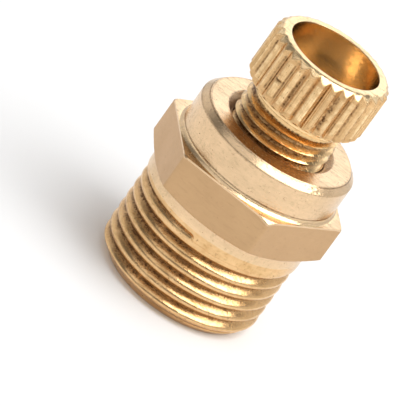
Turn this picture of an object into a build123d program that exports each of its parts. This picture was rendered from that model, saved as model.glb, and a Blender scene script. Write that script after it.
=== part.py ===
from build123d import *
from math import ceil, cos, floor, pi, radians, sin, tan
import os

os.makedirs("parts", exist_ok=True)

# All sizes are in millimetres. Z runs up the valve's axis from the threaded end's face, and the
# front flat of the hexagon faces -Y. The screw stands part open, where its joint reads zero.

# Male pipe thread, G 3/8
pipe_d = 16.662
pipe_pitch = 1.337
pipe_groove_depth = 0.856
pipe_root_width = 0.18
pipe_flank = 27.5
pipe_end_chamfer = 1.05
pipe_runout_rise = 0.25
pipe_runout_angle = -87

# Body outside: threaded shank with a shoulder, hexagon and collar
shank_length = 10.25
shoulder_height = 2
shoulder_growth = 0.238
shoulder_lead = 0.2
hex_across_flats = 17
hex_height = 4.3
hex_low_chamfer_angle = 22
hex_high_chamfer = 0.165
hex_high_chamfer_angle = 30
collar_d = 16.4
collar_height = 4
collar_root = 0.3
collar_chamfer = 0.65

# Screw thread, M10 x 1, with the play between its two halves and where each groove starts
screw_d = 9.9
screw_pitch = 1
screw_flank = 30
screw_depth_ratio = 0.59
screw_pitch_line_ratio = 0.275
screw_groove_ratio = 0.6
mesh_rise = 1.892
thread_play = 0.1
bore_play = 0.14
thread_depth = 6.15
body_thread_angle = 180
screw_thread_angle = -90

# Body inside, from the inlet up
inlet_d = 4
inlet_chamfer = 0.6
seat_d = 7.2
seat_low = 1
seat_thickness = 1.6
seat_hole_d = 3
seat_edge = 0.2
gland_step = 0.05
relief_step = 0.1
relief_height = 0.5
countersink_step = 0.7

# Drain screw
opening_travel = 2.4
spare_travel = 0.8
knob_gap = 3.85
knob_d = 12.15
knob_height = 5.45
knob_top_chamfer = 0.58
knob_low_chamfer = 0.25
flute_count = 30
flute_depth = 0.42
flute_width = 1.12
cup_d = 9.4
cup_depth = 4.6
cup_cone = 0.5
lip_d = 9.9
lip_height = 0.7
lip_chamfer = 0.12
neck_height = 0.6
neck_lead = 0.3
land_clearance = 0.05
land_above_groove = 0.6
land_below_groove = 0.5
waist_step = 0.26
thread_end_gap = 0.1
drain_bore_d = 3.8
socket_depth = 2.2
stem_end_chamfer = 0.2

# Stem seal
seal_section_d = 1.32
seal_clearance = 0.015
seal_slack = 0.28

# Needle
needle_d = 5.2
needle_tip_d = 0.8
needle_half_angle = 30
needle_wall = 0.9
needle_floor = 0.3
needle_play = 0.1
port_d = 1.5
port_count = 4
port_below_stem_end = 1.2

# How far a cut runs on past the metal that it opens
cut_past = 1
groove_past = 0.1

# Derived sizes
pipe_r = pipe_d / 2
shoulder_r = (pipe_d + shoulder_growth) / 2
hex_low = shank_length
hex_high = hex_low + hex_height
body_height = hex_high + collar_height
shoulder_low = hex_low - shoulder_height
pipe_runout_height = shoulder_low + pipe_runout_rise
hex_corner_r = hex_across_flats / 2 / cos(pi / 6)
hex_low_rise = (hex_corner_r - shoulder_r) * tan(radians(hex_low_chamfer_angle))
hex_high_drop = hex_high_chamfer * tan(radians(hex_high_chamfer_angle))
screw_r = screw_d / 2
screw_root_r = screw_r - screw_depth_ratio * screw_pitch
screw_pitch_line_r = screw_r - screw_pitch_line_ratio * screw_pitch
bore_r = screw_root_r + bore_play
body_thread_r = screw_r + thread_play
relief_r = body_thread_r + relief_step
countersink_r = screw_r + countersink_step
gland_r = bore_r - gland_step
thread_low = body_height - thread_depth
gland_high = thread_low - relief_height
mesh_height = body_height + mesh_rise
seat_top = seat_low + seat_thickness
knob_low = body_height + knob_gap
knob_top = knob_low + knob_height
lip_low = knob_low - lip_height
neck_low = lip_low - neck_height
cup_floor = knob_top - cup_depth
seal_groove_r = gland_r - seal_section_d - 2 * seal_clearance
seal_groove_high = gland_high - spare_travel
seal_groove_low = seal_groove_high - seal_section_d - seal_slack
stem_low = seal_groove_low - land_below_groove
land_top = seal_groove_high + land_above_groove
land_r = gland_r - land_clearance
waist_r = screw_root_r - waist_step
screw_thread_low = thread_low + opening_travel + thread_end_gap
screw_mesh = mesh_height + screw_thread_angle / 360 * screw_pitch
screw_turns_below = ceil((screw_mesh - screw_thread_low) / screw_pitch)
screw_groove_low = screw_mesh - screw_turns_below * screw_pitch
body_mesh = mesh_height + (body_thread_angle / 360 - 0.5) * screw_pitch
body_turns_below = floor((body_mesh - thread_low) / screw_pitch)
body_groove_low = body_mesh - body_turns_below * screw_pitch
needle_r = needle_d / 2
seat_contact = seat_top - seat_edge + opening_travel
cone_slope = tan(radians(needle_half_angle))
cone_top = seat_contact + (needle_d - seat_hole_d) / 2 / cone_slope
cone_low = seat_contact - (seat_hole_d - needle_tip_d) / 2 / cone_slope
needle_top = stem_low + socket_depth - needle_play


def turn(points, mode=Mode.ADD):
    """Turn a closed outline of (radius, height) points about the valve's axis."""
    with BuildSketch(Plane.XZ) as outline:
        with BuildLine():
            Polyline(*points, close=True)
        make_face()
    revolve(outline.sketch, axis=Axis.Z, mode=mode)


def cut_helix(pitch, low, angle, turns, root_r, open_r, root_width, flank):
    """Cut a right-hand V groove turn by turn, its centre climbing from low at angle."""
    outward = (cos(radians(angle)), sin(radians(angle)), 0)
    reach = open_r - root_r
    open_half = root_width / 2 + abs(reach) * tan(radians(flank))
    for turn_low in [low + pitch * count for count in range(turns)]:
        climb = Helix(pitch, pitch, root_r, center=(0, 0, turn_low), mode=Mode.PRIVATE)
        with BuildLine() as path:
            add(climb, rotation=angle)
        with BuildSketch(Plane(path.line @ 0, x_dir=outward, z_dir=path.line % 0)) as groove:
            with BuildLine():
                Polyline(
                    (0, -root_width / 2),
                    (reach, -open_half),
                    (reach, open_half),
                    (0, root_width / 2),
                    close=True,
                )
            make_face()
        sweep(groove.sketch, path=path.line, is_frenet=True, mode=Mode.SUBTRACT)


def cut_screw_thread(low, high, angle, root_r, open_r):
    """Cut the screw thread's groove from low at angle, in whole turns, until it's past high."""
    turns = ceil((high - low) / screw_pitch)
    narrowing = 2 * abs(screw_pitch_line_r - root_r) * tan(radians(screw_flank))
    root_width = screw_groove_ratio * screw_pitch - narrowing
    cut_helix(screw_pitch, low, angle, turns, root_r, open_r, root_width, screw_flank)


# Body: turned from hexagon bar, with the pipe thread below and the screw's thread inside
with BuildPart() as valve_body:
    turn(
        [
            (0, 0),
            (pipe_r - pipe_end_chamfer, 0),
            (pipe_r, pipe_end_chamfer),
            (pipe_r, shoulder_low),
            (shoulder_r, shoulder_low + shoulder_lead),
            (shoulder_r, hex_low),
            (hex_corner_r, hex_low + hex_low_rise),
            (hex_corner_r, hex_high - hex_high_drop),
            (hex_corner_r - hex_high_chamfer, hex_high),
            (collar_d / 2 + collar_root, hex_high),
            (collar_d / 2, hex_high + collar_root),
            (collar_d / 2, body_height - collar_chamfer),
            (collar_d / 2 - collar_chamfer, body_height),
            (0, body_height),
        ]
    )
    with BuildSketch(Plane.XY.offset(hex_low)):
        Circle(hex_corner_r + cut_past)
        RegularPolygon(hex_corner_r, 6, mode=Mode.SUBTRACT)
    extrude(amount=hex_height, mode=Mode.SUBTRACT)
    turn(
        [
            (0, -cut_past),
            (inlet_d / 2 + inlet_chamfer + cut_past, -cut_past),
            (inlet_d / 2, inlet_chamfer),
            (inlet_d / 2, seat_low),
            (seat_d / 2, seat_low),
            (seat_d / 2, seat_top),
            (gland_r, seat_top),
            (gland_r, gland_high),
            (relief_r, gland_high),
            (relief_r, thread_low),
            (bore_r, thread_low),
            (bore_r, body_height - (countersink_r - bore_r)),
            (countersink_r, body_height),
            (countersink_r, body_height + cut_past),
            (0, body_height + cut_past),
        ],
        mode=Mode.SUBTRACT,
    )
    pipe_turns = ceil(pipe_runout_height / pipe_pitch) + 1
    cut_helix(
        pipe_pitch,
        pipe_runout_height - pipe_turns * pipe_pitch,
        pipe_runout_angle,
        pipe_turns,
        pipe_r - pipe_groove_depth,
        shoulder_r + groove_past,
        pipe_root_width,
        pipe_flank,
    )
    cut_screw_thread(
        body_groove_low, body_height, body_thread_angle, body_thread_r, bore_r - groove_past
    )
valve_body.part.label = "valve_body"
export_step(valve_body.part, "parts/valve_body.step")

# Drain screw: fluted cup knob, lip, neck, threaded stem and sealing land in one turned piece
with BuildPart() as drain_screw:
    turn(
        [
            (0, stem_low),
            (land_r - stem_end_chamfer, stem_low),
            (land_r, stem_low + stem_end_chamfer),
            (land_r, land_top),
            (waist_r, land_top),
            (waist_r, screw_thread_low),
            (screw_r, screw_thread_low + screw_r - waist_r),
            (screw_r, neck_low - neck_lead),
            (screw_root_r, neck_low),
            (screw_root_r, lip_low),
            (lip_d / 2 - lip_chamfer, lip_low),
            (lip_d / 2, lip_low + lip_chamfer),
            (lip_d / 2, knob_low),
            (knob_d / 2 - knob_low_chamfer, knob_low),
            (knob_d / 2, knob_low + knob_low_chamfer),
            (knob_d / 2, knob_top - knob_top_chamfer),
            (knob_d / 2 - knob_top_chamfer, knob_top),
            (0, knob_top),
        ]
    )
    turn(
        [
            (0, stem_low - cut_past),
            (needle_r, stem_low - cut_past),
            (needle_r, stem_low + socket_depth),
            (drain_bore_d / 2, stem_low + socket_depth),
            (drain_bore_d / 2, cup_floor - cup_cone),
            (cup_d / 2, cup_floor),
            (cup_d / 2, knob_top + cut_past),
            (0, knob_top + cut_past),
        ],
        mode=Mode.SUBTRACT,
    )
    turn(
        [
            (seal_groove_r, seal_groove_low),
            (gland_r + cut_past, seal_groove_low),
            (gland_r + cut_past, seal_groove_high),
            (seal_groove_r, seal_groove_high),
        ],
        mode=Mode.SUBTRACT,
    )
    flute_outline = [
        (-flute_depth, 0),
        (0, -flute_width / 2),
        (cut_past, -flute_width / 2),
        (cut_past, flute_width / 2),
        (0, flute_width / 2),
    ]
    with BuildSketch(Plane.XY.offset(knob_low)):
        with PolarLocations(knob_d / 2, flute_count):
            Polygon(*flute_outline, align=None)
    extrude(amount=knob_height, mode=Mode.SUBTRACT)
    cut_screw_thread(
        screw_groove_low, neck_low, screw_thread_angle, screw_root_r, screw_r + groove_past
    )
drain_screw.part.label = "drain_screw"
export_step(drain_screw.part, "parts/drain_screw.step")

# Stem seal: a round-section ring in the land's groove
with BuildPart() as stem_seal:
    with BuildSketch(Plane.XZ):
        with Locations(
            ((gland_r + seal_groove_r) / 2, (seal_groove_low + seal_groove_high) / 2)
        ):
            Circle(seal_section_d / 2)
    revolve(axis=Axis.Z)
stem_seal.part.label = "stem_seal"
export_step(stem_seal.part, "parts/stem_seal.step")

# Needle: hollow shank pressed in the stem, cross ports, and a cone that closes the seat
with BuildPart() as needle:
    turn(
        [
            (0, cone_low),
            (needle_tip_d / 2, cone_low),
            (needle_r, cone_top),
            (needle_r, needle_top),
            (needle_r - needle_wall, needle_top),
            (needle_r - needle_wall, cone_top - needle_floor),
            (0, cone_top - needle_floor),
        ]
    )
    across = needle_d + cut_past
    with Locations((0, 0, stem_low - port_below_stem_end)):
        with PolarLocations(0, port_count // 2, angular_range=180):
            Cylinder(port_d / 2, across, rotation=(0, 90, 0), mode=Mode.SUBTRACT)
needle.part.label = "needle"
export_step(needle.part, "parts/needle.step")

# Seat: a ring pressed in the body's pocket, its upper hole edge broken to meet the cone
with BuildPart() as seat_ring:
    turn(
        [
            (seat_hole_d / 2 + seat_edge, seat_low),
            (seat_d / 2, seat_low),
            (seat_d / 2, seat_top),
            (seat_hole_d / 2 + seat_edge, seat_top),
            (seat_hole_d / 2, seat_top - seat_edge),
            (seat_hole_d / 2, seat_low + seat_edge),
        ]
    )
seat_ring.part.label = "seat_ring"
export_step(seat_ring.part, "parts/seat_ring.step")
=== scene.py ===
"""Needle valve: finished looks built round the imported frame.

Each turned piece is one closed grid of points. Its columns run round the valve's axis and its
rows follow the profile, so threads, flutes and the hexagon are radii worked out from angle and
height. Radii and heights are in millimetres until a mesh is made.
"""
import math
from collections import namedtuple

import bmesh
import bpy
import numpy as np
from mathutils import Matrix, Quaternion, Vector


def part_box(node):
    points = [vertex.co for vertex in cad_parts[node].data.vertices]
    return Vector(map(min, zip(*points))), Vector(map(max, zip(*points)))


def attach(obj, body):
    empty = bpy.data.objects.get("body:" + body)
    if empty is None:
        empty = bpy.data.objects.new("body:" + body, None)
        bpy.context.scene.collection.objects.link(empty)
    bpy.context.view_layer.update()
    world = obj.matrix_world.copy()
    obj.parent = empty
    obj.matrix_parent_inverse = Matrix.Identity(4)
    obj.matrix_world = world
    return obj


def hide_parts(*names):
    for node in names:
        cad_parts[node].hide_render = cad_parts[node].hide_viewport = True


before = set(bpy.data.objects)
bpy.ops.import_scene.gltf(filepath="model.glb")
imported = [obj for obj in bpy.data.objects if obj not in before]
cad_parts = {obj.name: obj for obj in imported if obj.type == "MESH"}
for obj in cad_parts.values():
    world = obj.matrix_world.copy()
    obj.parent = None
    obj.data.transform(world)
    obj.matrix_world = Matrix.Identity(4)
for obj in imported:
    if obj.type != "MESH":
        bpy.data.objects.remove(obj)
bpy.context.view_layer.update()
MM = 0.001
TURN = 2 * math.pi

# ---------------------------------------------------------------- sizes
body_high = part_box("valve_body")[1].z / MM
screw_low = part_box("drain_screw")[0].z / MM
knob_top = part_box("drain_screw")[1].z / MM

pipe_r = 8.331
pipe_pitch = 1.337
pipe_root_r = 7.70
pipe_root_width = 0.05
pipe_flank = 38
pipe_end_chamfer = 1.05
pipe_fade_start = 0.72
pipe_fade = 0.35
pipe_stop = 0.01
pipe_runout_angle = math.radians(-87)
pipe_runout_height = 8.5
pipe_section_high = 9.2

shoulder_r = 8.45
shoulder_low = 8.25
hex_half_flats = 8.5
hex_low = 10.25
hex_high = 14.55
hex_low_slope = math.tan(math.radians(22))
hex_chamfer = 0.165
worn_corner_chamfer = 0.5
worn_corner_angle = math.radians(300)
hex_high_slope = math.tan(math.radians(30))
collar_r = 8.2
collar_root = 0.3
collar_chamfer = 0.65

inlet_r = 2
inlet_chamfer = 0.6
seat_low = 1
seat_top = 2.6
seat_pocket_r = 3.6
gland_r = 4.45
relief_r = 5.15
relief_height = 0.5
body_bore_r = 4.5
body_thread_r = 5.05
body_thread_width = 0.17
thread_depth = 6.15
thread_low = body_high - thread_depth
countersink_r = 5.65
mesh_rise = 1.892
mesh_height = body_high + mesh_rise

screw_pitch = 1
screw_r = 4.95
screw_root_r = 4.36
screw_root_width = 0.24
screw_flank = 30
screw_thread_rise = 2.5
screw_thread_low = thread_low + screw_thread_rise
waist_r = 4.1
land_r = 4.4
land_length = 2.7
land_high = screw_low + land_length
seal_groove_r = 3.1
seal_groove_rise = 0.5
seal_groove_width = 1.6
seal_groove_low = screw_low + seal_groove_rise
seal_groove_high = seal_groove_low + seal_groove_width
socket_r = 2.6
socket_depth = 2.2
socket_high = screw_low + socket_depth
drain_r = 1.9

knob_r = 6.075
knob_gap = 3.85
knob_low = body_high + knob_gap
knob_top_chamfer = 0.58
knob_low_chamfer = 0.25
lip_height = 0.7
neck_height = 0.6
lip_low = knob_low - lip_height
neck_low = lip_low - neck_height
neck_lead = 0.3
cup_r = 4.7
cup_depth = 4.6
cup_floor = knob_top - cup_depth
cup_cone = 0.5
flute_count = 30
flute_depth = 0.42
flute_half_width = 0.60

# Columns round each brass piece, and rows to one pitch of each thread
body_columns = 320
screw_columns = 390
pipe_rows = 15
stem_rows = 10
bore_rows = 8

# Material numbers on the two brass pieces
TURNED = 0
FLAT = 1
THREAD = 2
KNOB = 3
CUP = 4

camera_azimuth = 6.65
camera_elevation = 24.9
camera_distance = 0.58
camera_aim = Vector((-2.25, -0.26, 8.0)) * MM
camera_roll = 35.57
camera_lens = 560
floor_reach = 3.0


# ---------------------------------------------------------------- shape helpers
def smooth_min(first, second, soft):
    """The smaller of two radii, rounded where they cross."""
    return 0.5 * (first + second - np.sqrt((first - second) ** 2 + soft**2))


def smooth_max(first, second, soft):
    return 0.5 * (first + second + np.sqrt((first - second) ** 2 + soft**2))


def dent(angle, height, at, up, radius, wide, tall):
    """A soft spot on a wall of that radius, 1 at its middle and 0 well away from it."""
    across = angle_from(angle, at) * radius
    return np.exp(-((across / wide) ** 2) - ((height - up) / tall) ** 2)


def angle_from(angle, centre):
    """Signed angle from a centre, between minus and plus half a turn."""
    return np.mod(angle - centre + math.pi, TURN) - math.pi


def wander(angle, size, seed):
    """Smooth random unevenness round the axis, about -1 to 1, with features of that angle."""
    random = np.random.default_rng(seed)
    waves = random.integers(1, int(TURN / size), 24)
    phases = random.uniform(0, TURN, 24)
    return sum(np.cos(wave * angle + phase) for wave, phase in zip(waves, phases)) / math.sqrt(12)


def groove_radius(distance, root_r, crest_r, root_width, flank, soft=0.06):
    """Radius of a V groove at that distance along the axis from its centre line."""
    rise = (np.abs(distance) - root_width / 2) / math.tan(math.radians(flank))
    if crest_r > root_r:
        return smooth_min(smooth_max(root_r + rise, root_r, soft), crest_r, soft)
    return smooth_max(smooth_min(root_r - rise, root_r, soft), crest_r, soft)


# A turn in a profile: its place, how much it is rounded, the material of the surface after it,
# and how strongly the surface is marked there as an edge or a corner.
Corner = namedtuple("Corner", "radius height rounding kind mark", defaults=(0.05, None, 1.0))


class Profile:
    """Rows of a closed turned surface: each row has a radius and a height for every column.

    Relief is the surface's own note of where it is sharp: 1 on an outer edge, -1 in a corner. The brass
    darkens its corners with dirt and painted shade, and lightens its edges with wear and a painted
    highlight.
    """

    def __init__(self, columns):
        self.angles = np.linspace(0, TURN, columns, endpoint=False)
        self.rows = []
        self.wraps = []
        self.kind = 0

    def row(self, radius, height, relief=0, wrap=None):
        ones = np.ones_like(self.angles)
        self.rows.append((radius * ones, height * ones, relief * ones, self.kind))
        self.wraps.append(wrap)

    def path(self, *corners, step=0.45, skin=None, hidden=False):
        """Straight stretches through rounded corners.

        The first and last corners only give a direction and aren't made. Skin is a function of
        angle and height, for what it adds to the radius between corners and its relief. A hidden
        path, inside the valve, has fewer rows at its corners.
        """
        ones = np.ones_like(self.angles)
        corners = [Corner(*corner) for corner in corners]
        points = [np.stack([corner.radius * ones, corner.height * ones]) for corner in corners]
        for here in range(1, len(corners) - 1):
            corner = corners[here]
            point = points[here]
            before = points[here - 1] - point
            after = points[here + 1] - point
            length_before = np.hypot(*before) + 1e-9
            length_after = np.hypot(*after) + 1e-9
            before = before / length_before
            after = after / length_after
            bend = np.arccos(np.clip(-(before * after).sum(0), -1, 1)) / (math.pi / 2)
            side = np.sign(after[0] * before[1] - after[1] * before[0])
            relief = np.clip(bend, 0, 1) * side * corner.mark
            spill = 2.2 * corner.rounding + 0.05
            next_spill = 2.2 * corners[here + 1].rounding + 0.05
            start = point + before * np.minimum(corner.rounding, length_before * 0.45)
            end = point + after * np.minimum(corner.rounding, length_after * 0.45)
            if not hidden:
                self.row(*(point + before * np.minimum(spill, length_before * 0.49)))
            for share in (0, 1) if hidden else (0, 0.25, 0.5, 0.75, 1):
                inward = (1 - share) ** 2 * start + 2 * share * (1 - share) * point
                self.row(*(inward + share**2 * end), relief * (0.6 + 0.4 * math.sin(math.pi * share)))
            if corner.kind is not None:
                self.kind = corner.kind
            first = point + after * np.minimum(spill, length_after * 0.49)
            last = points[here + 1] - after * np.minimum(next_spill, length_after * 0.49)
            if not hidden:
                self.row(*first)
            gap = float(np.max(length_after))
            if here == len(corners) - 2 or gap < 2 * step:
                continue
            count = int(gap / step)
            for part in range(1, count):
                radius, height = first + (last - first) * part / count
                change, relief = skin(self.angles, height) if skin else (0, 0)
                self.row(radius + change, height, relief)

    def helix(self, low, high, pitch, per_pitch, shape, downward=False):
        """Rows that climb with a right-hand thread, from low to high or back down."""
        count = math.ceil((high - low) / pitch + 1) * per_pitch + 1
        start = len(self.rows)
        steps = range(count)
        for k in reversed(steps) if downward else steps:
            climb = low - pitch + pitch * k / per_pitch + pitch * self.angles / TURN
            height = np.clip(climb, low, high)
            radius, relief = shape(self.angles, height)
            position = start + (count - 1 - k if downward else k)
            shifted = position - per_pitch if downward else position + per_pitch
            wrap = min(max(shifted, start), start + count - 1)
            self.row(radius, height, relief, wrap)

    def piece(self, name, body, node, materials):
        """The closed mesh of these rows, which rides on a body and stands for a CAD node."""
        columns = len(self.angles)
        radius, height, relief = (np.array([row[part] for row in self.rows]) for part in range(3))
        kinds = np.array([row[3] for row in self.rows])
        points = np.stack([radius * np.cos(self.angles), radius * np.sin(self.angles), height], -1)
        index = np.arange(len(self.rows) * columns).reshape(-1, columns)
        beside = np.roll(index, -1, 1)
        for position, wrap in enumerate(self.wraps):
            if wrap is not None:
                beside[position, -1] = index[wrap, 0]
        quads = np.stack([index, beside, np.roll(beside, -1, 0), np.roll(index, -1, 0)], -1)
        mesh = bpy.data.meshes.new(name)
        mesh.from_pydata((points.reshape(-1, 3) * MM).tolist(), [], quads.reshape(-1, 4).tolist())
        mesh.polygons.foreach_set("material_index", np.repeat(kinds, columns))
        mesh.attributes.new("relief", "FLOAT", "POINT").data.foreach_set("value", relief.ravel())
        work = bmesh.new()
        work.from_mesh(mesh)
        bmesh.ops.remove_doubles(work, verts=work.verts, dist=2e-6)
        bmesh.ops.recalc_face_normals(work, faces=work.faces)
        work.to_mesh(mesh)
        work.free()
        mesh.shade_smooth()
        mesh.set_sharp_from_angle(angle=math.radians(40))
        for material in materials:
            mesh.materials.append(material)
        made = bpy.data.objects.new(name, mesh)
        bpy.context.scene.collection.objects.link(made)
        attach(made, body)
        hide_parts(node)
        return made


# ---------------------------------------------------------------- material helpers
class Nodes:
    """A Principled material whose nodes are added and joined by short calls."""

    def __init__(self, name, color, roughness, metallic=1.0):
        self.material = bpy.data.materials.new(name)
        self.material.use_nodes = True
        self.tree = self.material.node_tree
        self.shader = self.tree.nodes["Principled BSDF"]
        self.shader.inputs["Metallic"].default_value = metallic
        self.shader.inputs["Base Color"].default_value = (*color, 1)
        self.shader.inputs["Roughness"].default_value = roughness
        self.place = self.add("ShaderNodeTexCoord").outputs["Object"]

    def add(self, kind, inputs=None, **settings):
        node = self.tree.nodes.new(kind)
        for setting, value in settings.items():
            setattr(node, setting, value)
        for socket, value in (inputs or {}).items():
            self.put(node.inputs[socket], value)
        return node

    def put(self, socket, value):
        if isinstance(value, bpy.types.NodeSocket):
            self.tree.links.new(value, socket)
        else:
            socket.default_value = value

    def math(self, operation, first, second=0.0, third=0.0, clamp=False):
        node = self.add("ShaderNodeMath", {0: first, 1: second, 2: third}, operation=operation)
        node.use_clamp = clamp
        return node.outputs[0]

    def scaled(self, scale):
        return self.add(
            "ShaderNodeMapping", {"Vector": self.place, "Scale": scale}
        ).outputs["Vector"]

    def noise(self, scale, detail=3.0, roughness=0.55, stretch=None, distortion=0.0):
        """Noise of so many features to a metre, 0 to 1, with an optional stretch by axis."""
        vector = self.scaled(stretch) if stretch else self.place
        inputs = {
            "Vector": vector,
            "Scale": scale,
            "Detail": detail,
            "Roughness": roughness,
            "Distortion": distortion,
        }
        return self.add("ShaderNodeTexNoise", inputs).outputs["Fac"]

    def around(self):
        """Radius and height of the point from the valve's axis, in millimetres."""
        split = self.add("ShaderNodeSeparateXYZ", {"Vector": self.place}).outputs
        flat = self.math("POWER", split["X"], 2.0)
        radius = self.math("SQRT", self.math("ADD", flat, self.math("POWER", split["Y"], 2.0)))
        return self.math("MULTIPLY", radius, 1000.0), self.math("MULTIPLY", split["Z"], 1000.0)

    def across(self):
        """How far along x the point lies from the piece's axis, in millimetres."""
        split = self.add("ShaderNodeSeparateXYZ", {"Vector": self.place}).outputs
        return self.math("MULTIPLY", split["X"], 1000.0)

    def ramp(self, value, *stops):
        """Value to value by straight stretches between (place, value) stops."""
        node = self.add("ShaderNodeValToRGB", {"Fac": value})
        ramp = node.color_ramp
        while len(ramp.elements) < len(stops):
            ramp.elements.new(0.5)
        for element, (place, level) in zip(ramp.elements, stops):
            element.position = place
            element.color = (level, level, level, 1)
        return node.outputs["Color"]

    def blend(self, share, first, second):
        node = self.add("ShaderNodeMix", {"Factor": share}, data_type="RGBA")
        self.put(node.inputs[6], first)
        self.put(node.inputs[7], second)
        return node.outputs[2]

    def bump(self, height, distance, strength=1.0, under=None):
        inputs = {"Height": height, "Distance": distance, "Strength": strength}
        if under is not None:
            inputs["Normal"] = under
        return self.add("ShaderNodeBump", inputs).outputs["Normal"]

    def finish(self, **sockets):
        for socket, value in sockets.items():
            self.put(self.shader.inputs[socket.replace("_", " ")], value)
        return self.material


def turning_marks(nodes, lines_per_mm):
    """Fine rings left by the lathe, uneven in depth, as a 0 to 1 height."""
    radius, height = nodes.around()
    along = nodes.math("ADD", nodes.math("MULTIPLY", radius, 0.83), height)
    line = nodes.add("ShaderNodeCombineXYZ", {"Z": along}).outputs[0]
    inputs = {"Vector": line, "Scale": lines_per_mm, "Detail": 2.0, "Roughness": 0.7}
    return nodes.add("ShaderNodeTexNoise", inputs).outputs["Fac"]


# Colours every brass goes to: on edges, wear and a painted highlight; in corners, dirt and painted shade
polished_and_highlight = (1.0, 0.75, 0.42, 1)
dirt_and_shade_brown = (0.15, 0.068, 0.022, 1)


def brass(name, tint, dull, roughness, marks, dirt_and_shade):
    """Turned brass: a clean tint that dulls in patches, lathe rings, scratches, dirt and painted shade in
    corners, wear and a painted highlight on edges.
    """
    nodes = Nodes(name, tint, roughness)
    relief = nodes.add("ShaderNodeAttribute", attribute_name="relief").outputs["Fac"]
    patches = nodes.noise(260, 4, 0.6)
    fine = nodes.noise(3800, 3, 0.7)
    rings = turning_marks(nodes, marks)
    smears = nodes.noise(900, 4, 0.65, stretch=(1, 1, 3.5), distortion=0.6)
    scratches = nodes.noise(5200, 1, 0.3, stretch=(0.07, 0.9, 0.35), distortion=1.8)
    scratch = nodes.ramp(scratches, (0.62, 0), (0.68, 1))
    specks = nodes.ramp(nodes.noise(4600, 2, 0.6), (0.50, 0), (0.62, 1))
    pits = nodes.ramp(nodes.noise(3300, 1, 0.5), (0.68, 0), (0.74, 1))

    # Dirt and painted shade darken the corners, valleys and pits, more of them towards minus x
    corner = nodes.math("MULTIPLY", relief, -1.0, clamp=True)
    packed = nodes.math("MULTIPLY_ADD", nodes.noise(1500, 4, 0.7), 1.5, -0.25)
    packed = nodes.math("MULTIPLY_ADD", specks, 0.8, packed)
    # Painted shade: more corner darkening towards minus x, the side away from the overhead softbox
    shaded_side = nodes.math("MULTIPLY_ADD", nodes.across(), -0.07, 0.75)
    grime_and_shade = nodes.math("MULTIPLY", nodes.math("MULTIPLY", packed, corner), shaded_side, clamp=True)
    grime_and_shade = nodes.math("MULTIPLY", grime_and_shade, dirt_and_shade, clamp=True)
    grime_and_shade = nodes.math("MULTIPLY_ADD", pits, 0.25 * dirt_and_shade, grime_and_shade, clamp=True)

    # Edges and burrs go towards a brighter polished tint: real edge wear, and partly a painted highlight
    edge = nodes.math("MULTIPLY", relief, 1.0, clamp=True)
    worn = nodes.math("MULTIPLY", edge, nodes.ramp(nodes.noise(1900), (0.35, 0.2), (0.6, 1)))
    dulled = nodes.math("MULTIPLY_ADD", smears, 0.9, nodes.math("MULTIPLY_ADD", patches, 1.0, -0.55))
    dulled = nodes.math("MULTIPLY_ADD", scratch, 0.3, dulled, clamp=True)
    color = nodes.blend(dulled, (*tint, 1), (*dull, 1))
    color = nodes.blend(worn, color, polished_and_highlight)
    # Corners go towards brown: dirt, and painted shade in the creases and valleys
    color = nodes.blend(grime_and_shade, color, dirt_and_shade_brown)
    rough = nodes.math("MULTIPLY_ADD", patches, 0.16, roughness - 0.08)
    rough = nodes.math("MULTIPLY_ADD", fine, 0.12, nodes.math("ADD", rough, -0.06))
    rough = nodes.math("MULTIPLY_ADD", grime_and_shade, 0.35, rough)
    rough = nodes.math("MULTIPLY_ADD", worn, -0.08, rough, clamp=True)
    normal = nodes.bump(rings, 0.000012)
    normal = nodes.bump(fine, 0.000009, under=normal)
    normal = nodes.bump(scratch, -0.00001, 0.6, under=normal)
    metallic = nodes.math("MULTIPLY_ADD", grime_and_shade, -0.15, 1.0)
    return nodes.finish(Base_Color=color, Roughness=rough, Metallic=metallic, Normal=normal)


body_brass = brass(
    "body_brass", tint=(0.88, 0.62, 0.38), dull=(0.60, 0.43, 0.25), roughness=0.24, marks=22, dirt_and_shade=0.9
)
# A darker copy of the brass for the hex flats: the darker tint is painted shade for the dimmer reflection
# they catch
shaded_flat_brass = brass(
    "shaded_flat_brass", tint=(0.60, 0.385, 0.205), dull=(0.53, 0.335, 0.175), roughness=0.38, marks=9, dirt_and_shade=0.5
)
thread_brass = brass(
    "thread_brass", tint=(0.88, 0.57, 0.29), dull=(0.52, 0.28, 0.09), roughness=0.18, marks=16, dirt_and_shade=1.7
)
rim_brass = brass(
    "rim_brass", tint=(0.97, 0.73, 0.43), dull=(0.86, 0.58, 0.30), roughness=0.24, marks=20, dirt_and_shade=0.7
)
stem_brass = brass(
    "stem_brass", tint=(0.95, 0.66, 0.34), dull=(0.60, 0.36, 0.15), roughness=0.14, marks=20, dirt_and_shade=1.5
)
knob_brass = brass(
    "knob_brass", tint=(0.80, 0.51, 0.25), dull=(0.48, 0.29, 0.125), roughness=0.28, marks=20, dirt_and_shade=1.5
)
cup_brass = brass(
    "cup_brass", tint=(0.98, 0.78, 0.50), dull=(0.86, 0.62, 0.36), roughness=0.10, marks=14, dirt_and_shade=0.8
)


# ---------------------------------------------------------------- wear marks
def scatter(seed, count, angle, spread, heights, wide, deep):
    """Random pits and burrs about an angle: (angle, height, width, tallness, depth) of each."""
    random = np.random.default_rng(seed)
    marks = []
    for _ in range(count):
        size = random.uniform(*wide)
        place = (angle + random.normal(0, spread), random.uniform(*heights))
        marks.append((*place, size, size * random.uniform(0.4, 1.0), deep * random.uniform(-0.7, 1)))
    return marks


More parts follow.
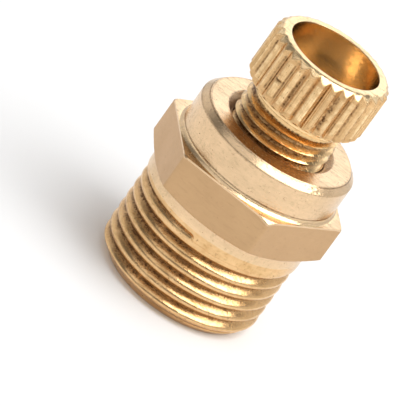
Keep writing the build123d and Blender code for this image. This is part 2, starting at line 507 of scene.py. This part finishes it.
def star(angle, height, rays, length):
    """Small pits along rays from a point, like a scratch that has burst outwards."""
    marks = [(angle, height, 0.09, 0.09, -0.03)]
    for ray in range(rays):
        out = TURN * (ray + 0.3 * math.sin(ray * 2.4)) / rays
        for part in range(1, 5):
            reach = length * part / 4 * (0.7 + 0.3 * math.cos(ray * 1.7))
            place = (angle + reach * math.cos(out) / collar_r, height + reach * math.sin(out))
            marks.append((*place, 0.14, 0.11, 0.08 * (-1) ** (ray + part)))
    return marks


def pitted(angle, height, radius, marks):
    """Depth that the marks take off a wall, below nothing where they raise a burr."""
    taken = np.zeros_like(angle)
    for at, up, wide, tall, deep in marks:
        taken += deep * dent(angle, height, at, up, radius, wide, tall)
    return taken


# The side of the valve that the camera sees has the marks worth drawing one by one
front = math.radians(camera_azimuth - 90)
knob_marks = [
    (front - 0.53, knob_low + 2.35, 0.42, 0.09, 0.20),
    (front - 0.53, knob_low + 2.00, 0.20, 0.18, -0.05),
    (front - 0.13, knob_low + 3.95, 0.06, 0.06, -0.06),
    (front + 0.16, knob_low + 3.60, 0.06, 0.06, -0.06),
]
knob_marks += scatter(11, 46, front + 0.44, 0.05, (knob_low + 0.3, knob_low + 3.6), (0.11, 0.18), 0.15)
knob_marks += scatter(12, 20, front + 0.72, 0.05, (knob_low + 1.6, knob_low + 3.9), (0.07, 0.12), 0.09)
knob_marks += scatter(13, 110, 0, TURN, (knob_low + 0.3, knob_low + 4.7), (0.06, 0.12), 0.04)
collar_marks = star(front + 0.73, body_high - 0.5, 9, 0.75)
collar_marks += scatter(14, 34, front + 0.76, 0.07, (body_high - 1.5, body_high - 0.1), (0.11, 0.17), 0.06)
collar_marks += scatter(15, 24, front - 0.75, 0.12, (body_high - 1.3, body_high - 0.6), (0.11, 0.18), 0.03)
collar_marks += scatter(16, 70, 0, TURN, (hex_high + 0.4, body_high), (0.10, 0.16), 0.016)


# ---------------------------------------------------------------- valve body
def hex_radius(angle):
    """Distance from the axis to the hexagon, its corners a little rounded."""
    sector = np.mod(angle, TURN / 6) - TURN / 12
    beside = TURN / 6 - np.abs(sector)
    flat = hex_half_flats / np.cos(sector)
    next_flat = hex_half_flats / np.cos(beside)
    return smooth_min(flat, next_flat, 0.03)


def pipe_shape(angle, height):
    """Pipe thread on the shank, its last groove growing shallow before it stops."""
    blank = np.where(height > shoulder_low, shoulder_r, pipe_r)
    blank = smooth_min(blank, pipe_r - pipe_end_chamfer + height, 0.05)
    turned = np.mod(angle - pipe_runout_angle, TURN) / TURN
    top = pipe_runout_height - pipe_pitch * (1 - turned)
    steps = np.maximum(np.round((top - height) / pipe_pitch), 0)
    distance = height - (top - steps * pipe_pitch)
    radius = groove_radius(distance, pipe_root_r, shoulder_r + 0.3, pipe_root_width, pipe_flank, 0.16)
    fading = np.clip((turned - pipe_fade_start) / (1 - pipe_fade_start), 0, 1)
    stopping = np.clip((turned - (1 - pipe_stop)) / pipe_stop, 0, 1)
    lift = np.where(steps == 0, pipe_fade * fading**1.5 + stopping, 0)
    radius = smooth_min(radius + lift, blank, 0.12)
    depth = (blank - radius) / (pipe_r - pipe_root_r)
    # Thread roots get negative relief, which the brass paints dark as dirt and painted shade
    return radius, 0.25 - 1.25 * depth**1.6


def bore_shape(angle, height):
    """Screw thread inside the body, fading into the countersink."""
    start = mesh_height + screw_pitch * (angle - math.pi) / TURN
    distance = np.mod(height - start + screw_pitch / 2, screw_pitch) - screw_pitch / 2
    radius = groove_radius(distance, body_thread_r, body_bore_r, body_thread_width, screw_flank)
    sink = countersink_r - (body_high - height)
    # The bore counts as a corner all over, so the brass paints it darker with dirt and painted shade
    return smooth_max(radius, sink, 0.03), -0.4


def collar_skin(angle, height):
    """Handling marks and the faint unevenness of a hand-fed cut on the collar."""
    taken = pitted(angle, height, collar_r, collar_marks)
    return -np.clip(taken, -0.03, 0.2), np.clip(-12 * taken, -0.8, 0.6)


def make_body():
    body = Profile(body_columns)
    flat = hex_radius(body.angles)
    worn = np.abs(angle_from(body.angles, worn_corner_angle)) < TURN / 12
    corner_r = hex_half_flats / math.cos(TURN / 12)
    chamfer_r = corner_r - np.where(worn, worn_corner_chamfer, hex_chamfer)
    over = np.maximum(flat - chamfer_r, 0)
    low_rise = np.maximum(flat - shoulder_r, 0) * hex_low_slope
    body.path(
        (pipe_r - pipe_end_chamfer, 0),
        (inlet_r + inlet_chamfer, 0),
        (inlet_r, inlet_chamfer),
        (inlet_r, seat_low, 0.03),
        (seat_pocket_r, seat_low, 0.03),
        (seat_pocket_r, seat_top, 0.03),
        (gland_r, seat_top),
        (gland_r, thread_low - relief_height),
        (relief_r, thread_low - relief_height),
        (relief_r, thread_low),
        (body_bore_r, thread_low, 0.03),
        (body_bore_r, thread_low + 1),
        step=1.5,
        hidden=True,
    )
    body.helix(thread_low + 0.04, body_high - 0.05, screw_pitch, bore_rows, bore_shape)
    body.path(
        (countersink_r - 0.2, body_high - 0.2, 0.02),
        (countersink_r, body_high, 0.05),
        (collar_r - collar_chamfer, body_high, 0.06),
        (collar_r, body_high - collar_chamfer),
        step=0.4,
    )
    body.path(
        (collar_r - collar_chamfer - 1, body_high),
        (collar_r - collar_chamfer, body_high, 0.01, None, 0.3),
        (collar_r, body_high - collar_chamfer, 0.06),
        (collar_r, hex_high + collar_root),
        step=0.11,
        skin=collar_skin,
    )
    body.path(
        (collar_r, body_high - collar_chamfer - 0.3),
        (collar_r, body_high - collar_chamfer - 0.4, 0.02, None, 0),
        (collar_r, hex_high + collar_root + 0.1, 0.02, None, 0),
        (collar_r, hex_high + collar_root),
        step=0.14,
        skin=collar_skin,
    )
    body.path(
        (collar_r, hex_high + collar_root + 1),
        (collar_r, hex_high + collar_root, 0.10),
        (collar_r + collar_root, hex_high, 0.10),
        (np.minimum(flat, chamfer_r), hex_high, 0.06, None, 0.5),
        (flat, hex_high - over * hex_high_slope, 0.06, FLAT),
        (flat, hex_low + low_rise, 0.08, TURNED, 0.1),
        (shoulder_r, hex_low, 0.10, TURNED, 0),
        (shoulder_r, shoulder_low),
        step=0.4,
    )
    body.kind = THREAD
    body.helix(0.16, pipe_section_high, pipe_pitch, pipe_rows, pipe_shape, downward=True)
    body.path(
        (pipe_r - pipe_end_chamfer + 0.16, 0.16),
        (pipe_r - pipe_end_chamfer, 0, 0.06),
        (inlet_r + inlet_chamfer, 0),
    )
    looks = [body_brass, shaded_flat_brass, thread_brass]
    return body.piece("body_detail", "body", "valve_body", looks)


# ---------------------------------------------------------------- drain screw
def drawn_lines(angle):
    """Depth of the fine lines the rolling tool left along the knob."""
    return 0.03 * wander(angle, 0.026, 5)


def flute_cut(angle):
    """Depth of the V flutes round the knob, each a little uneven, with lines along them."""
    offset = angle_from(angle * flute_count, 0) / flute_count
    half = flute_half_width / knob_r * (1 + 0.06 * wander(angle, 0.2, 3))
    depth = flute_depth * (1 + 0.08 * wander(angle, 0.15, 4))
    cut = smooth_max(depth * (1 - np.abs(offset) / half), 0.0, 0.02)
    return np.clip(cut + drawn_lines(angle), 0, flute_depth + 0.08)


def knob_skin(angle, height):
    """Chips, a nick across one flute and chatter on the knob's side."""
    chatter = 0.006 * np.sin(angle * 61 + height * 9) * np.sin(angle * 23 - height * 14)
    taken = pitted(angle, height, knob_r, knob_marks)
    valley = flute_cut(angle) / flute_depth
    # Flute valleys, chips and drawn lines get negative relief, painted dark as dirt and painted shade;
    # crests and burrs get positive relief, painted lighter as wear and a painted highlight
    relief = 0.5 - 1.2 * valley**1.4 - 9 * taken - 9 * drawn_lines(angle)
    return chatter - np.clip(taken, -0.07, 0.3), np.clip(relief, -1, 1)


def stem_shape(angle, height):
    """Thread on the screw's stem, between the waist and the neck."""
    start = mesh_height + screw_pitch * (angle + math.pi / 2) / TURN - 0.25 * screw_pitch
    distance = np.mod(height - start + screw_pitch / 2, screw_pitch) - screw_pitch / 2
    groove = groove_radius(distance, screw_root_r, screw_r + 0.2, screw_root_width, screw_flank)
    low_lead = waist_r + (height - screw_thread_low)
    high_lead = screw_root_r + (neck_low - height) * (screw_r - screw_root_r) / neck_lead
    blank = smooth_min(screw_r, smooth_min(low_lead, high_lead, 0.05), 0.05)
    radius = smooth_min(groove, blank, 0.04)
    # Thread roots get negative relief, which the brass paints dark as dirt and painted shade
    return radius, 0.25 - 1.25 * ((screw_r - radius) / (screw_r - screw_root_r)) ** 1.6


def make_screw():
    screw = Profile(screw_columns)
    side = knob_r - flute_cut(screw.angles)
    inner_r = knob_r - knob_low_chamfer
    screw.path(
        (socket_r, socket_high),
        (socket_r, screw_low),
        (land_r, screw_low, 0.12),
        (land_r, seal_groove_low),
        (seal_groove_r, seal_groove_low, 0.08),
        (seal_groove_r, seal_groove_high, 0.08),
        (land_r, seal_groove_high),
        (land_r, land_high, 0.06),
        (waist_r, land_high, 0.06),
        (waist_r, screw_thread_low),
        (waist_r + 0.1, screw_thread_low + 0.1),
        step=1.6,
        hidden=True,
    )
    screw.kind = THREAD
    screw.helix(screw_thread_low + 0.05, neck_low - 0.02, screw_pitch, stem_rows, stem_shape)
    screw.path(
        (screw_root_r, neck_low),
        (screw_root_r, lip_low - 0.3),
        (screw_root_r, lip_low, 0.10),
        (screw_r, lip_low, 0.13),
        (screw_r, knob_low),
        (np.minimum(side, inner_r), knob_low, 0.05, KNOB),
        (side, knob_low + np.maximum(side - inner_r, 0), 0.04),
        (side, knob_top - knob_top_chamfer),
    )
    screw.path(
        (side, knob_low),
        (side, knob_low + 0.5, 0.02, None, 0),
        (side, knob_top - knob_top_chamfer - 0.2, 0.02, None, 0),
        (side, knob_top),
        step=0.14,
        skin=knob_skin,
    )
    screw.path(
        (side, knob_low),
        (side, knob_top - knob_top_chamfer + knob_r - side, 0.04, TURNED),
        (knob_r - knob_top_chamfer, knob_top, 0.32),
        (cup_r, knob_top, 0.07, CUP),
        (cup_r, cup_floor, 0.10),
        (drain_r, cup_floor - cup_cone, 0.08),
        (drain_r, socket_high, 0.03),
        (socket_r, socket_high, 0.05),
        (socket_r, screw_low),
        step=0.6,
    )
    looks = [rim_brass, shaded_flat_brass, stem_brass, knob_brass, cup_brass]
    return screw.piece("screw_detail", "screw", "drain_screw", looks)


make_body()
make_screw()


# ---------------------------------------------------------------- hidden pieces keep CAD shapes
def give(node, material):
    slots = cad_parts[node].data.materials
    for number in range(len(slots)):
        slots[number] = material


def steel():
    nodes = Nodes("ground_steel", (0.58, 0.57, 0.55), 0.28)
    rings = turning_marks(nodes, 18)
    cloud = nodes.noise(700, 4)
    color = nodes.blend(cloud, (0.50, 0.49, 0.47, 1), (0.66, 0.65, 0.63, 1))
    rough = nodes.math("MULTIPLY_ADD", cloud, 0.14, 0.20)
    normal = nodes.bump(rings, 0.00001)
    return nodes.finish(Base_Color=color, Roughness=rough, Normal=normal)


def plastic():
    nodes = Nodes("seat_plastic_look", (0.80, 0.79, 0.74), 0.42, metallic=0)
    cloud = nodes.noise(900, 5)
    color = nodes.blend(cloud, (0.72, 0.71, 0.65, 1), (0.86, 0.85, 0.81, 1))
    rough = nodes.math("MULTIPLY_ADD", cloud, 0.15, 0.35)
    normal = nodes.bump(nodes.noise(5000, 3), 0.00001)
    return nodes.finish(Base_Color=color, Roughness=rough, Normal=normal)


def rubber():
    nodes = Nodes("seal_rubber_look", (0.025, 0.025, 0.027), 0.5, metallic=0)
    cloud = nodes.noise(1200, 5)
    color = nodes.blend(cloud, (0.015, 0.015, 0.016, 1), (0.045, 0.044, 0.043, 1))
    rough = nodes.math("MULTIPLY_ADD", cloud, 0.25, 0.38)
    normal = nodes.bump(nodes.noise(6000, 3), 0.00001)
    return nodes.finish(Base_Color=color, Roughness=rough, Normal=normal)


give("needle", steel())
give("seat_ring", plastic())
give("stem_seal", rubber())


# ---------------------------------------------------------------- floor, light and camera
def make_floor():
    nodes = Nodes("floor_paper", (0.88, 0.88, 0.88), 0.9, metallic=0)
    cloud = nodes.noise(30, 3)
    color = nodes.blend(cloud, (0.87, 0.87, 0.87, 1), (0.89, 0.89, 0.89, 1))
    nodes.shader.inputs["Specular IOR Level"].default_value = 0.1
    mesh = bpy.data.meshes.new("floor")
    reach = floor_reach
    corners = [(-reach, -reach, 0), (reach, -reach, 0), (reach, reach, 0), (-reach, reach, 0)]
    mesh.from_pydata(corners, [], [(0, 1, 2, 3)])
    nodes.shader.inputs["Emission Color"].default_value = (1, 1, 1, 1)
    nodes.shader.inputs["Emission Strength"].default_value = 0.05
    mesh.materials.append(nodes.finish(Base_Color=color))
    floor = bpy.data.objects.new("floor", mesh)
    bpy.context.scene.collection.objects.link(floor)


def direction(azimuth, elevation):
    """Unit vector towards an azimuth from the camera's own side, right positive, in degrees."""
    around = math.radians(azimuth + camera_azimuth)
    up = math.radians(elevation)
    return Vector((math.sin(around) * math.cos(up), -math.cos(around) * math.cos(up), math.sin(up)))


def make_camera():
    data = bpy.data.cameras.new("camera")
    data.lens = camera_lens
    data.clip_end = 20
    camera = bpy.data.objects.new("camera", data)
    towards = direction(0, camera_elevation)
    camera.location = camera_aim + towards * camera_distance
    facing = towards.to_track_quat("Z", "Y")
    camera.rotation_mode = "QUATERNION"
    camera.rotation_quaternion = facing @ Quaternion((0, 0, 1), math.radians(camera_roll))
    bpy.context.scene.collection.objects.link(camera)
    bpy.context.scene.camera = camera


def softbox(name, place, facing, width, height, brightness):
    """A rectangular studio light at place, given by how bright its face looks.

    Place and facing are (right, towards the camera, up) from the valve, in metres.
    """
    right = direction(90, 0)
    near = direction(0, 0)
    up = Vector((0, 0, 1))
    light = bpy.data.lights.new(name, "AREA")
    light.shape = "RECTANGLE"
    light.size = width
    light.size_y = height
    light.energy = brightness * math.pi * width * height
    lamp = bpy.data.objects.new(name, light)
    lamp.location = right * place[0] + near * place[1] + up * place[2]
    back = -(right * facing[0] + near * facing[1] + up * facing[2]).normalized()
    side = right if abs(back.dot(right)) < 0.9 else near
    across = (side - back * side.dot(back)).normalized()
    lamp.rotation_mode = "QUATERNION"
    lamp.rotation_quaternion = Matrix((across, back.cross(across), back)).transposed().to_quaternion()
    bpy.context.scene.collection.objects.link(lamp)


def make_world(*stops):
    """Studio walls, whose brightness goes by the height looked at: (height, level) stops."""
    world = bpy.data.worlds.new("studio")
    world.use_nodes = True
    tree = world.node_tree
    towards = tree.nodes.new("ShaderNodeTexCoord").outputs["Generated"]
    split = tree.nodes.new("ShaderNodeSeparateXYZ")
    tree.links.new(towards, split.inputs[0])
    ramp = tree.nodes.new("ShaderNodeValToRGB")
    tree.links.new(split.outputs["Z"], ramp.inputs[0])
    while len(ramp.color_ramp.elements) < len(stops):
        ramp.color_ramp.elements.new(0.5)
    brightest = max(level for height, level in stops)
    for element, (height, level) in zip(ramp.color_ramp.elements, stops):
        element.position = height
        share = level / brightest
        element.color = (share, share, share, 1)
    tree.links.new(ramp.outputs[0], tree.nodes["Background"].inputs["Color"])
    tree.nodes["Background"].inputs["Strength"].default_value = brightest
    bpy.context.scene.world = world


make_floor()
make_camera()
make_world((0, 0.8), (0.45, 0.85), (0.62, 0.2))
softbox(
    "overhead_softbox", (0.31, 0.055, 0.5), facing=(0, 0, -1), width=0.60, height=0.44, brightness=4.2
)
softbox(
    "overhead_fill", (-0.20, 0.14, 0.5), facing=(0, 0, -1), width=0.36, height=0.32, brightness=0.72
)
softbox(
    "backdrop_light", (0.05, -0.8, 0.38), facing=(0, 1, -0.4), width=0.9, height=0.40, brightness=0.86
)
bpy.context.scene.view_settings.view_transform = "Standard"
bpy.context.scene.view_settings.look = "None"
